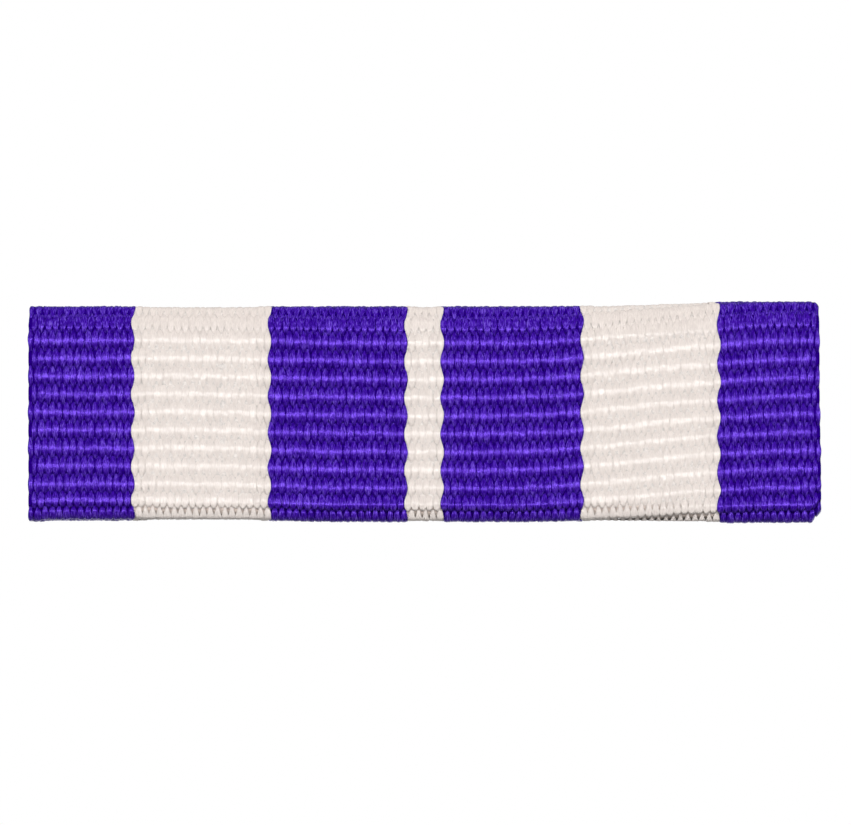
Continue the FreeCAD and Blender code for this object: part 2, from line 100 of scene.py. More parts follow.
# The stripes from -X to +X, and the edges between them
STRIPE_KINDS = [
    ("purple_edge_minus_x", "purple"),
    ("white_band_minus_x", "white"),
    ("purple_band_minus_x", "purple"),
    ("white_centre_line", "white"),
    ("purple_band_plus_x", "purple"),
    ("white_band_plus_x", "white"),
    ("purple_edge_plus_x", "purple"),
]
STRIPE_EDGES = [-12.79, -6.81, -0.83, 0.85, 6.88, 13.03]
STRIPES = [
    (name, kind, low, high)
    for (name, kind), low, high in zip(
        STRIPE_KINDS, [-HALF_WIDTH, *STRIPE_EDGES], [*STRIPE_EDGES, HALF_WIDTH])
]

# The ribs: their pitch, the height of the first above the middle, and how full they are,
# from 0, a plain wave, towards a quarter turn, which flattens their tops
RIB = 0.792
RIB_START = 0.045
ROUNDNESS = 1.42

# Ribs aren't level. They dip this much towards the middle, then climb towards +X; each change
# starts at an x and takes a length
RIB_DIP = 0.165
RIB_DIP_X = (-13, 13)
RIB_CLIMB = 0.88
RIB_CLIMB_X = (3, 14)
# They stand this much further apart towards +X, and crowd together near the folds. A crowding
# is how far it moves them, where it starts above or below the middle, and its length
RIB_WIDENING = 0.009
RIB_WIDENING_X = (-17, 22)
TOP_CROWDING = (0.03, 3.3, 0.8)
BOTTOM_CROWDINGS = [(0.12, 3.2, 0.6), (0.18, 3.85, 0.5)]
# They waver this much, in waves that each have a share, a beat across and along, and a start
RIB_WAVER = 0.012
RIB_WAVES = [(1.0, 0.9, 0.7, 1.3), (0.6, 2.1, -0.9, 2.0)]

# Stretches of the cloth. Below the middle the ribs stand up round the bottom fold, and begin
# to open; above it the front leans back to the top fold
BENT = (3.8, 4.7, 0.4)
OPENED = (3.85, 0.3)
LEANING = (3.4, 4.4, 0.3)

# How high a yarn's crests stand. The white yarn is fuller, so it rises less. At a stripe's
# edge it rises as the purple does, and that fades from so many pitches inside over so many more
LIFT = {"purple": 0.175, "white": 0.12}
BENT_LIFT = {"purple": 0.24, "white": 0.18}
LEANING_LIFT = {"purple": 0.12, "white": 0.09}
ALIKE_FADES = (1, 4)

# How wide a yarn is, in pitches: half its neck, and its swell on a crest inside a stripe,
# along a stripe's edge and along the ribbon's edge. The white yarn is fuller here too
NECK = 0.46
SWELL = {"purple": 0.68, "white": 0.78}
EDGE_SWELL = 0.56
SELVAGE_SWELL = 0.25
# The outline of that swell on the front: the powers that blunt its shoulder, above the crest,
# and its tip, below. Purple yarns' shoulders are partly a point instead, and white ones' are
# where they open
SHOULDER_BLUNTNESS = 2.2
SHOULDER_FULLNESS = 0.6
TIP_BLUNTNESS = 1.5
POINT_SLOPE = 1.1
POINT_DROP = 0.22
PURPLE_POINTED = 0.4

# A yarn's section: half its thickness halfway up a rib and how much less it is on a crest or
# in a dive, and the powers that fill out its ellipse across and upwards
HALF_THICK = 0.098
CREST_THINNING = 0.066
FULL_ACROSS = 0.9
FULL_UP = 0.68
# Bundles of filaments stand out of it, as shares of its thickness: the slowest and fastest
# beat along it, their swing, and how they differ from bundle to bundle and from ring to ring
RIDGE_BEATS = (3, 9)
RIDGE_SWING = 0.20
RIDGE_SPREAD = 0.16
RIDGE_GRAIN = 0.08

# No two yarns are alike: how much each thing varies, in millimetres, ribs or shares, and how
# far and at what beat a yarn wanders sideways and its width along its length
VARIES = {"along": 0.004, "place": 0.007, "phase": 0.012, "height": 0.03, "width": 0.03}
PLACE_WANDERS = (0.008, 2.0)
WIDTH_WANDERS = (0.05, 9.0)
WANDER_WAVES = 3
WANDER_BEATS = (0.5, 1.6)

# The ground cloth's half thickness between ribs, what a weft cord adds in a rib, and how that
# grows with the rib's height, under white yarns and under purple ones. It has one thickness
# where the white ribs open, and loses a share of it where the front leans back. The dye's edge
# sways with the yarns
PALE_GROUND = (0.065, 0.055)
PALE_CORD = (0, 0.8)
DARK_GROUND = (0.012, 0.160)
DARK_CORD = (0.35, 0.6)
OPENED_GROUND = 0.06
LEANING_THINNING = 0.55
DYE_SWAY = 0.48 * PITCH

# How the folded ribbon departs from a true rectangle. Only what is near the top or bottom
# edge moves: from a height above or below the middle, and in full once a length is past.
# Each move is an amount, the end of x that it is for, where it starts and its length
NEAR_EDGE = (2.6, 1.9)
TOP_RISES = [(0.21, 1, 6, 9)]
BOTTOM_SAGS = [(0.025, 1, -8, 3), (0.045, 1, 12, 2), (0.05, -1, 16.6, 0.3)]
# Each top corner's end of x, the width it is rounded over, and its drop. The arc is followed
# for this share of the width, short of its upright end
TOP_CORNERS = [(1, 0.30, 0.36), (-1, 0.16, 0.12)]
ARC_FOLLOWED = 0.98
# The lower +X corner is cut off, over this width and at this slope
CUT_WIDTH = 0.45
CUT_SLOPE = 1.1
# The +X edge widens by this much towards the bottom
FLARE = 0.07
FLARE_X = (15.5, 1.5)
FLARE_Z = (-3.5, 5)

# ---------------------------------------------------------------- the ribbon's path

# The cloth's middle runs flat, turns back over a shoulder, wide at the top and sharp at the
# bottom, and folds round the core's edge. Each pair below is the bottom's, the top's.
MIDDLE = THICK / 2
FOLD = EDGE_RADIUS + MIDDLE
DEPTH = CORE_THICK + THICK
EDGE_Z = core_high[2] - EDGE_RADIUS
FRONT_Y = core_low[1] - MIDDLE
TUCK_LENGTH = EDGE_Z - TUCK_GAP / 2
SHOULDER = np.array([0.65, 1.0])
QUARTER = math.pi / 2
# the top's shoulder meets the fold past the quarter turn, the bottom's runs straight to it
TURN = np.array([QUARTER, math.acos((SHOULDER[1] + FOLD - DEPTH) / (SHOULDER[1] - FOLD))])
STRAIGHT = np.array([DEPTH - SHOULDER[0] - FOLD, 0.0])
FLAT_Z = EDGE_Z - (SHOULDER - FOLD) * np.sin(TURN)
SHOULDER_LENGTH = SHOULDER * TURN
FOLD_LENGTH = FOLD * (math.pi - TURN)
FRONT_LENGTH = FLAT_Z + SHOULDER_LENGTH + STRAIGHT + FOLD_LENGTH
# the share of the cloth's turn that pale silk's facing takes, and the turn in radians from
# which that grows to the whole, over as much again
FACING_SHARE = np.array([0.45, 0.2])
FACING_GROWS = (1.4, 1.4)


def path(s):
    """The middle of the cloth at s. Returns y, z, the outward normal's y and z, and the
    path's curvature."""
    side = np.where(s < 0, -1.0, 1.0)
    end = np.where(s < 0, 0, 1)
    run = np.abs(s)
    radius = SHOULDER[end]
    flat = np.minimum(run, FLAT_Z[end])
    shoulder = np.clip(run - FLAT_Z[end], 0, SHOULDER_LENGTH[end]) / radius
    straight = np.clip(run - (FLAT_Z + SHOULDER_LENGTH)[end], 0, STRAIGHT[end])
    fold = np.clip(run - (FRONT_LENGTH - FOLD_LENGTH)[end], 0, FOLD_LENGTH[end]) / FOLD
    tuck = np.clip(run - FRONT_LENGTH[end], 0, None)
    turned = shoulder + fold
    y = FRONT_Y + radius * (1 - np.cos(shoulder)) + straight
    y = y + FOLD * (np.cos(shoulder) - np.cos(turned))
    z = flat + radius * np.sin(shoulder)
    z = z + FOLD * (np.sin(turned) - np.sin(shoulder)) - tuck
    on_shoulder = (shoulder > 0) & (straight + fold + tuck <= 0)
    on_fold = (fold > 0) & (tuck <= 0)
    curvature = np.where(on_shoulder, 1 / radius, np.where(on_fold, 1 / FOLD, 0.0))
    return y, side * z, -np.cos(turned), side * np.sin(turned), curvature


def outward(s):
    """The way pale silk faces as a whole, light having spread through it round the folds:
    it turns back less than the cloth does, until the cloth faces backwards."""
    _, _, ny, nz, _ = path(s)
    lean = np.arctan2(nz, -ny)
    share = FACING_SHARE[np.where(s < 0, 0, 1)]
    lean = lean * blend(share, 1, grown(np.abs(lean), *FACING_GROWS))
    return np.stack([0 * s, -np.cos(lean), np.sin(lean)], axis=-1)


def rib_phase(s, x):
    """Whole numbers are the ribs' crests, which hand tightening leaves a little uneven."""
    pitch = RIB + RIB_WIDENING * grown(x, *RIB_WIDENING_X)
    amount, start, length = TOP_CROWDING
    moved = -amount * grown(s, start, length)
    for amount, start, length in BOTTOM_CROWDINGS:
        moved = moved + amount * grown(-s, start, length)
    level = RIB_CLIMB * grown(x, *RIB_CLIMB_X) - RIB_DIP * grown(x, *RIB_DIP_X)
    waver = 0
    for share, across, along, start in RIB_WAVES:
        waver = waver + share * np.sin(across * x + along * s + start)
    return (s - moved + RIB_WAVER * waver - level - RIB_START) / pitch


def rib_lift(phase):
    """The height of a rounded rib, 1 at the crest, and how fast it changes along the cloth."""
    c = np.cos(math.pi * phase)
    lift = np.sin(ROUNDNESS * c) / math.sin(ROUNDNESS)
    fall = -np.cos(ROUNDNESS * c) * ROUNDNESS / math.sin(ROUNDNESS) * np.sin(math.pi * phase)
    return lift, fall * math.pi / RIB


def settle(x, z):
    """The ribbon isn't cut or folded dead straight: it stands a little taller towards +X and
    widens there towards the bottom, and its corners are rounded, the lower +X one cut off."""
    near_top = grown(z, *NEAR_EDGE)
    near_bottom = grown(-z, *NEAR_EDGE)
    for amount, end, start, length in TOP_RISES:
        z = z + near_top * amount * grown(end * x, start, length)
    for amount, end, start, length in BOTTOM_SAGS:
        z = z - near_bottom * amount * grown(end * x, start, length)
    for end, width, drop in TOP_CORNERS:
        past = np.clip((end * x - HALF_WIDTH + width) / width, 0, ARC_FOLLOWED)
        z = z - near_top * drop * (1 - np.sqrt(1 - past**2))
    z = z + near_bottom * CUT_SLOPE * np.clip(x - HALF_WIDTH + CUT_WIDTH, 0, None)
    x = x + FLARE * grown(x, *FLARE_X) * (1 - grown(z, *FLARE_Z))
    return x, z


# ---------------------------------------------------------------- meshes

def mesh_from_quads(name, points, quads, smooth_shaded=True):
    """points in millimetres; quads as rows of four vertex numbers."""
    mesh = bpy.data.meshes.new(name)
    mesh.vertices.add(len(points))
    mesh.vertices.foreach_set("co", (points * MM).astype(np.float32).ravel())
    mesh.loops.add(quads.size)
    mesh.loops.foreach_set("vertex_index", quads.astype(np.int32).ravel())
    mesh.polygons.add(len(quads))
    mesh.polygons.foreach_set("loop_start", np.arange(0, quads.size, 4, dtype=np.int32))
    mesh.polygons.foreach_set("use_smooth", np.full(len(quads), smooth_shaded))
    mesh.update(calc_edges=True)
    mesh.validate()
    piece = bpy.data.objects.new(name, mesh)
    bpy.context.scene.collection.objects.link(piece)
    return piece


def grid_quads(rows, columns):
    """Quads of a sheet of rows of points."""
    i, k = np.meshgrid(np.arange(rows - 1), np.arange(columns - 1), indexing="ij")
    a = i * columns + k
    return np.stack([a, a + 1, a + 1 + columns, a + columns], axis=-1).reshape(-1, 4)


def tube_quads(rings, segments):
    """Quads of a tube of rings of points, with its two ends closed. segments is even."""
    i, k = np.meshgrid(np.arange(rings - 1), np.arange(segments), indexing="ij")
    a = i * segments + k
    b = i * segments + (k + 1) % segments
    walls = np.stack([a, b, b + segments, a + segments], axis=-1).reshape(-1, 4)
    caps = []
    for j in range(segments // 2 - 1):
        caps.append([j, segments - 1 - j, segments - 2 - j, j + 1])
    start = np.array(caps)
    end = start[:, ::-1] + (rings - 1) * segments
    return np.concatenate([walls, start, end])


def slab_quads(rows, columns):
    """Quads of a slab with an outer and an inner face of rows of points, closed at its rim."""
    outer = grid_quads(rows, columns)
    one_face = rows * columns
    inner = outer[:, ::-1] + one_face
    across = np.arange(columns)
    along = np.arange(rows) * columns
    rim = []
    for line, turned in (
        (across, False),
        (across + (rows - 1) * columns, True),
        (along, True),
        (along + columns - 1, False),
    ):
        strip = [line[:-1], line[:-1] + one_face, line[1:] + one_face, line[1:]]
        strip = np.stack(strip, axis=-1)
        rim.append(strip[:, ::-1] if turned else strip)
    return np.concatenate([outer, inner, *rim])


def set_vector_attribute(piece, name, values):
    attribute = piece.data.attributes.new(name, "FLOAT_VECTOR", "POINT")
    attribute.data.foreach_set("vector", values.astype(np.float32).ravel())


# ---------------------------------------------------------------- the yarns

def yarn_stations():
    """Arc lengths of a yarn's rings: close together where the ribbon shows."""
    low, high = -FRONT_LENGTH[0], FRONT_LENGTH[1]
    fine = np.linspace(low, high, int(round((high - low) / RIB * RINGS_PER_RIB)) + 1)
    count = int(round(TUCK_LENGTH / RIB * TUCKED_RINGS_PER_RIB))
    tuck = np.linspace(0, TUCK_LENGTH, count + 1)[1:]
    return np.concatenate([low - tuck[::-1], fine, high + tuck])


def wander(s, rng, reach, beat):
    """A smooth, seeded unevenness along a yarn, of about the reach given."""
    total = 0
    for _ in range(WANDER_WAVES):
        total = total + np.sin(s * beat * rng.uniform(*WANDER_BEATS) + rng.uniform(0, 2 * math.pi))
    return reach * total / math.sqrt(WANDER_WAVES)


def crest_height(kind, inside, s):
    """How high the crests of a yarn that lies so far inside its stripe stand, along it."""
    height = blend(LIFT[kind], LIFT["purple"], 1 - grown(inside / PITCH, *ALIKE_FADES))
    height = blend(height, BENT_LIFT[kind], between(-s, *BENT))
    return blend(height, LEANING_LIFT[kind], between(s, *LEANING))


def crest_spread(kind, x_middle, inside, s, past_crest):
    """How far a yarn spreads beyond its neck, in pitches. past_crest runs along s, from -1
    in one dive through 0 at the crest to 1 in the next."""
    if inside < EDGE_BAND:
        # along a stripe's edge the yarns swell gently, in an even wave
        at_selvage = abs(x_middle) > HALF_WIDTH - EDGE_BAND
        swell = SELVAGE_SWELL if at_selvage else EDGE_SWELL
        return swell * np.cos(0.5 * math.pi * past_crest)
    from_crest = np.abs(past_crest)
    shoulder = np.clip(1 - from_crest**SHOULDER_BLUNTNESS, 0, 1) ** SHOULDER_FULLNESS
    tip = np.clip(1 - from_crest**TIP_BLUNTNESS, 0, 1)
    pointed = POINT_SLOPE * (1 - from_crest) - POINT_DROP
    share = grown(-s, *OPENED) if kind == "white" else PURPLE_POINTED
    shoulder = blend(shoulder, pointed, share)
    return SWELL[kind] * np.where(past_crest > 0, shoulder, tip)


def filament_ridges(s, rng):
    """How thick a yarn is at each point round it and along it, as a share."""
    beat = rng.uniform(*RIDGE_BEATS, SEGMENTS)
    start = rng.uniform(0, 2 * math.pi, SEGMENTS)
    ridge = 1 + RIDGE_SWING * np.sin(s[:, None] * beat + start)
    ridge = ridge + rng.normal(0, RIDGE_SPREAD, SEGMENTS)
    return ridge + rng.normal(0, RIDGE_GRAIN, (len(s), SEGMENTS))


def weave_yarn(number, x_middle, kind, inside, rng):
    """One warp yarn: over one rib and under the next, spread wide on each crest and
    squeezed narrow between its neighbours where it dives. It lies so far inside its stripe."""
    s = yarn_stations() + rng.normal(0, VARIES["along"])
    x = x_middle + rng.normal(0, VARIES["place"]) + wander(s, rng, *PLACE_WANDERS)
    phase = rib_phase(s, x) + rng.normal(0, VARIES["phase"]) + number % 2
    lift, fall = rib_lift(phase)
    high = crest_height(kind, inside, s) * (1 + rng.normal(0, VARIES["height"]))
    offset = high * lift
    spread = crest_spread(kind, x_middle, inside, s, 2 * ((phase + 0.5) % 1 - 0.5))
    uneven = 1 + rng.normal(0, VARIES["width"]) + wander(s, rng, *WIDTH_WANDERS)
    half_wide = PITCH * (NECK + spread) * uneven
    half_thick = HALF_THICK - CREST_THINNING * np.abs(lift)

    y, z, ny, nz, curvature = path(s)
    tilt = np.arctan2(high * fall, 1 + curvature * offset)
    # along the yarn, s growing, is (nz, -ny): the section's own up leans against the climb
    vy = ny * np.cos(tilt) - nz * np.sin(tilt)
    vz = nz * np.cos(tilt) + ny * np.sin(tilt)

    around = (np.arange(SEGMENTS) + 0.5) * 2 * math.pi / SEGMENTS
    across = np.sign(np.cos(around)) * np.abs(np.cos(around)) ** FULL_ACROSS
    up = np.sign(np.sin(around)) * np.abs(np.sin(around)) ** FULL_UP
    rise = half_thick[:, None] * up * filament_ridges(s, rng)
    px = x[:, None] + half_wide[:, None] * across
    py = (y + ny * offset)[:, None] + vy[:, None] * rise
    pz = (z + nz * offset)[:, None] + vz[:, None] * rise
    px, pz = settle(px, pz)
    points = np.stack([px, py, pz], axis=-1).reshape(-1, 3)

    # the yarn's own coordinates: yarns across and millimetres along
    follow = np.stack([
        np.broadcast_to(across * 0.5 + number, px.shape),
        np.broadcast_to(s[:, None], px.shape),
        np.zeros(px.shape),
    ], axis=-1).reshape(-1, 3)
    return points, follow, np.repeat(outward(s), SEGMENTS, axis=0)


def weave_stripe(name, kind, low, high, rng):
    """The warp yarns of one stripe as one piece, each a closed tube."""
    rings = len(yarn_stations())
    one = tube_quads(rings, SEGMENTS)
    points, follow, facing, quads = [], [], [], []
    for number in range(YARNS):
        x = SELVAGE - HALF_WIDTH + (number + 0.5) * PITCH
        if not low <= x < high:
            continue
        inside = min(x - low, high - x)
        yarn_points, yarn_follow, yarn_facing = weave_yarn(number, x, kind, inside, rng)
        quads.append(one + len(points) * rings * SEGMENTS)
        points.append(yarn_points)
        follow.append(yarn_follow)
        facing.append(yarn_facing)
    piece = mesh_from_quads(name, np.concatenate(points), np.concatenate(quads))
    set_vector_attribute(piece, "yarn", np.concatenate(follow))
    set_vector_attribute(piece, "cloth_outward", np.concatenate(facing))
    return piece


# ---------------------------------------------------------------- the ground cloth

def dye_depth(s, x):
    """How far a place on the ground lies inside a white stripe. The edges of the dye sway
    with the yarns that lie on top, half a pitch to and fro from rib to rib."""
    edges = np.array(STRIPE_EDGES)
    into = np.array([1 if kind == "white" else -1 for _, kind in STRIPE_KINDS[1:]])
    first = np.ceil((edges + HALF_WIDTH - SELVAGE) / PITCH - 0.5)
    line = SELVAGE - HALF_WIDTH + first * PITCH
    nearest = np.abs(x[..., None] - edges).argmin(axis=-1)
    sway = DYE_SWAY * np.cos(math.pi * (rib_phase(s, x) + first[nearest]))
    return into[nearest] * (x - line[nearest] + sway)


def ground_half_thickness(s, x):
    """Fat where a weft cord lies in a rib, thin between ribs and where the ribs lie flatter,
    so that the ground stays under the yarns."""
    lift = np.abs(rib_lift(rib_phase(s, x))[0])
    pale = np.zeros(x.shape, bool)
    for _, kind, low, high in STRIPES:
        pale |= (kind == "white") & (x > low + PITCH) & (x < high - PITCH)
    under_white = PALE_GROUND[0] + PALE_GROUND[1] * grown(lift, *PALE_CORD)
    under_white = blend(under_white, OPENED_GROUND, grown(-s, *OPENED))
    under_purple = DARK_GROUND[0] + DARK_GROUND[1] * grown(lift, *DARK_CORD)
    half = np.where(pale, under_white, under_purple)
    return half * (1 - LEANING_THINNING * between(s, *LEANING))


def weave_ground():
    """The weft inside the ribbon as one continuous strip. The yarns lie on both its faces."""
    stations = yarn_stations()
    reach = HALF_WIDTH - GROUND_INSET
    s, x = np.meshgrid(stations, np.linspace(-reach, reach, GROUND_COLUMNS), indexing="ij")
    y, z, ny, nz, _ = path(s)
    half = ground_half_thickness(s, x)
    faces = []
    for side in (1, -1):
        py = y + side * half * ny
        px, pz = settle(x, z + side * half * nz)
        faces.append(np.stack([px, py, pz], axis=-1).reshape(-1, 3))
    ground = mesh_from_quads("ribbon_ground", np.concatenate(faces), slab_quads(*s.shape))
    # first the dye's depth into a white stripe, then painted shade: how far into the bottom fold,
    # where the ribs open, the ground is drawn darker and warmer
    dye_and_painted_shade = np.stack([dye_depth(s, x), grown(-s, *OPENED), 0 * s], axis=-1).reshape(-1, 3)
    set_vector_attribute(ground, "dye_and_painted_shade", np.concatenate([dye_and_painted_shade, dye_and_painted_shade]))
    one_face = np.repeat(outward(stations), GROUND_COLUMNS, axis=0)
    set_vector_attribute(ground, "cloth_outward", np.concatenate([one_face, -one_face]))
    return ground


# ---------------------------------------------------------------- shader nodes

# The Mix node has its own sockets for each type: two inputs and an output
MIX_SOCKETS = {"RGBA": (6, 7, 2), "VECTOR": (4, 5, 1)}


def join(tree, source, socket):
    """Link another node's output to a socket, or set the socket to a plain value."""
    if isinstance(source, bpy.types.NodeSocket):
        tree.links.new(source, socket)
    else:
        socket.default_value = source


def feed(tree, node, **inputs):
    """Give a node's inputs, by name with _ for each space, an output or a value."""
    for name, source in inputs.items():
        join(tree, source, node.inputs[name.replace("_", " ")])


def add(tree, kind, *sources, **settings):
    """A new node. The sources go to its inputs in order, and each setting to the property of
    that name or, if there is none, to the input."""
    node = tree.nodes.new(kind)
    for name, value in settings.items():
        if hasattr(node, name):
            setattr(node, name, value)
        else:
            feed(tree, node, **{name: value})
    for source, socket in zip(sources, node.inputs):
        join(tree, source, socket)
    return node


def mix(tree, data_type, factor, first, second, blend_type="MIX"):
    node = add(tree, "ShaderNodeMix", data_type=data_type, blend_type=blend_type, Factor=factor)
    first_input, second_input, output = MIX_SOCKETS[data_type]
    join(tree, first, node.inputs[first_input])
    join(tree, second, node.inputs[second_input])
    return node.outputs[output]


def stretched(tree, place, scale):
    """A place scaled along each axis: a pattern there is drawn out where the scale is small."""
    return add(tree, "ShaderNodeVectorMath", place, scale, operation="MULTIPLY").outputs[0]


def attribute(tree, name):
    return add(tree, "ShaderNodeAttribute", attribute_name=name).outputs["Vector"]


def noise(tree, **settings):
    return add(tree, "ShaderNodeTexNoise", **settings).outputs["Fac"]


def colour_ramp(tree, source, stops):
    ramp = add(tree, "ShaderNodeValToRGB", source)
    elements = ramp.color_ramp.elements
    while len(elements) < len(stops):
        elements.new(0.5)
    for element, (place, colour) in zip(elements, stops):
        element.position = place
        element.color = (*colour, 1)
    return ramp.outputs["Color"]


def spread_about(tree, source, value, less, more):
    """The source's range of 0 to 1 laid over a range about a value."""
    spread = add(tree, "ShaderNodeMapRange", Value=source, To_Min=value - less, To_Max=value + more)
    return spread.outputs[0]


def new_material(name):
    material = bpy.data.materials.new(name)
    material.use_nodes = True
    tree = material.node_tree
    return material, tree, tree.nodes["Principled BSDF"]


# ---------------------------------------------------------------- the ribbon's materials

SILK_IOR = 1.5
TONE_SHARE = 0.25
SHADE_STOPS = (0.40, 0.52, 0.63)


def yarn_noise(tree, yarn, scale, detail):
    """Noise laid along the yarns: x counts yarns across, y millimetres along."""
    place = stretched(tree, yarn, scale)
    return noise(tree, Vector=place, Scale=1.0, Detail=detail, Roughness=0.6, Distortion=0.4)


def silk(name, shades, rough):
    """Multifilament yarn in a dark, a middle and a bright shade: fine filaments run along
    each yarn and fan out with it, with a slightly different tone from yarn to yarn.
    Returns its bumped normal too, for the gloss."""
    material, tree, shader = new_material(name)
    yarn = attribute(tree, "yarn")
    # filaments run along the yarn: fast changes across it, slow ones along it
    filaments = yarn_noise(tree, yarn, scale=(6.5, 1.1, 0.0), detail=1.5)
    # fluff and bundles catch the dye and the light unevenly
    fluff = yarn_noise(tree, yarn, scale=(8.0, 5.0, 0.0), detail=2.5)
    # tone from yarn to yarn and from rib to rib
    tone = yarn_noise(tree, yarn, scale=(0.9, 0.7, 0.0), detail=2.0)

    tone_part = add(tree, "ShaderNodeMath", tone, TONE_SHARE, operation="MULTIPLY").outputs[0]
    shade = add(
        tree, "ShaderNodeMath", fluff, 1 - TONE_SHARE, tone_part, operation="MULTIPLY_ADD")
    colour = colour_ramp(tree, shade.outputs[0], list(zip(SHADE_STOPS, shades)))
    feed(tree, shader, Base_Color=colour, Roughness=spread_about(tree, fluff, rough, 0.08, 0.08))
    bump = add(tree, "ShaderNodeBump", Strength=1.0, Distance=0.03 * MM, Height=filaments)
    return material, tree, shader, bump.outputs[0]


def purple_silk():
    shades = [(0.013, 0.0, 0.175), (0.050, 0.003, 0.38), (0.17, 0.085, 0.63)]
    material, tree, shader, bumped = silk("purple_yarn", shades, rough=0.27)
    feed(tree, shader, Normal=bumped, Specular_IOR_Level=0.65, IOR=SILK_IOR)
    feed(tree, shader, Specular_Tint=(0.28, 0.13, 1.0, 1))
    return material


def white_silk():
    """Light wanders from yarn to yarn inside pale silk, so that its own shade is the cloth's
    more than the yarn's; the gloss stays on the yarns, as a coat."""
    rough = 0.22
    shades = [(0.78, 0.72, 0.685), (0.84, 0.78, 0.74), (0.90, 0.84, 0.80)]
    material, tree, shader, bumped = silk("white_yarn", shades, rough)
    blurred = mix(tree, "VECTOR", 0.8, bumped, attribute(tree, "cloth_outward"))
    level = add(tree, "ShaderNodeVectorMath", blurred, operation="NORMALIZE").outputs[0]
    feed(tree, shader, Normal=level, Specular_IOR_Level=0.0, Diffuse_Roughness=1.0)
    feed(tree, shader, Coat_Normal=bumped, Coat_Weight=0.41, Coat_Roughness=rough)
    feed(tree, shader, Coat_IOR=SILK_IOR)
    return material


def ground_material():
    """The weft that shows between the yarns, in each stripe's own colour, with painted shade: drawn
    darker and warmer where the ribs open towards the bottom fold."""
    material, tree, shader = new_material("ribbon_ground")
    split = add(tree, "ShaderNodeSeparateXYZ", attribute(tree, "dye_and_painted_shade"))
    is_white = add(tree, "ShaderNodeMath", split.outputs["X"], 0.0, operation="GREATER_THAN")
    purple, white = (0.022, 0.0, 0.25, 1), (0.90, 0.84, 0.80, 1)
    colour = mix(tree, "RGBA", is_white.outputs[0], purple, white)
    # painted shade: darker and warmer where the ribs open towards the bottom fold
    painted_fold_shade = mix(tree, "RGBA", split.outputs["Y"], colour, (0.95, 0.86, 0.81, 1), "MULTIPLY")
    place = add(tree, "ShaderNodeTexCoord").outputs["Object"]
    grain = noise(tree, Vector=place, Scale=9000)
    grey = colour_ramp(tree, grain, [(0.3, (0.7, 0.7, 0.7)), (0.7, (1, 1, 1))])
    feed(tree, shader, Base_Color=mix(tree, "RGBA", 1.0, painted_fold_shade, grey, "MULTIPLY"))
    feed(tree, shader, Normal=attribute(tree, "cloth_outward"))
    feed(tree, shader, Roughness=0.8, Specular_IOR_Level=0.0)
    return material


# ---------------------------------------------------------------- the metal's materials

BRASS = (0.80, 0.56, 0.22)
DULL_BRASS = (0.52, 0.34, 0.13)
EDGE_WEAR = 0.06 * MM
EDGE_BRIGHTER = 1.25


def brass_material(name, colour, dull, rough, marks, drawn_out):
    """Brass with rolling marks, of so many to a metre and drawn out along the axes with a
    small factor, a patchy tarnish and bright worn edges."""
    material, tree, shader = new_material(name)
    place = add(tree, "ShaderNodeTexCoord").outputs["Object"]
    grain = noise(tree, Vector=stretched(tree, place, drawn_out), Scale=marks, Detail=4.0)
    patches = noise(tree, Vector=place, Scale=420, Detail=5.0)
    tarnish = colour_ramp(tree, patches, [(0.34, colour), (0.74, dull)])

    # edges: where the rounded normal leaves the face's own
    rounded = add(tree, "ShaderNodeBevel", samples=6, Radius=EDGE_WEAR).outputs[0]
    face = add(tree, "ShaderNodeNewGeometry").outputs["Normal"]
    facing = add(tree, "ShaderNodeVectorMath", rounded, face, operation="DOT_PRODUCT")
    worn = add(
        tree, "ShaderNodeMapRange", Value=facing.outputs["Value"], From_Min=0.995, From_Max=0.9)
    bright = (*(min(1.0, part * EDGE_BRIGHTER) for part in colour), 1)
    feed(tree, shader, Base_Color=mix(tree, "RGBA", worn.outputs[0], tarnish, bright))

    feed(tree, shader, Roughness=spread_about(tree, grain, rough, 0.1, 0.14), Metallic=1.0)
    bump = add(
        tree, "ShaderNodeBump", Strength=0.25, Distance=0.01 * MM, Height=grain, Normal=rounded)
    feed(tree, shader, Normal=bump.outputs[0])
    return material


def floor_material():
    material, tree, shader = new_material("floor")
    grain = noise(tree, Scale=60)
    stops = [(0.3, (0.82, 0.82, 0.81)), (0.7, (0.835, 0.835, 0.825))]
    feed(tree, shader, Base_Color=colour_ramp(tree, grain, stops), Roughness=0.9)
    return material


def dress(piece, material):
    piece.data.materials.clear()
    piece.data.materials.append(material)


# ---------------------------------------------------------------- building the pieces

RIBBON_SEED = 7


def build_ribbon():
    rng = np.random.default_rng(RIBBON_SEED)
    silks = {"purple": purple_silk(), "white": white_silk()}
    for name, kind, low, high in STRIPES:
        stripe = weave_stripe(name, kind, low, high, rng)
        dress(stripe, silks[kind])
        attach(stripe, "ribbon_unit")
    ground = weave_ground()
    dress(ground, ground_material())
    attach(ground, "ribbon_unit")
    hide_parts("ribbon")


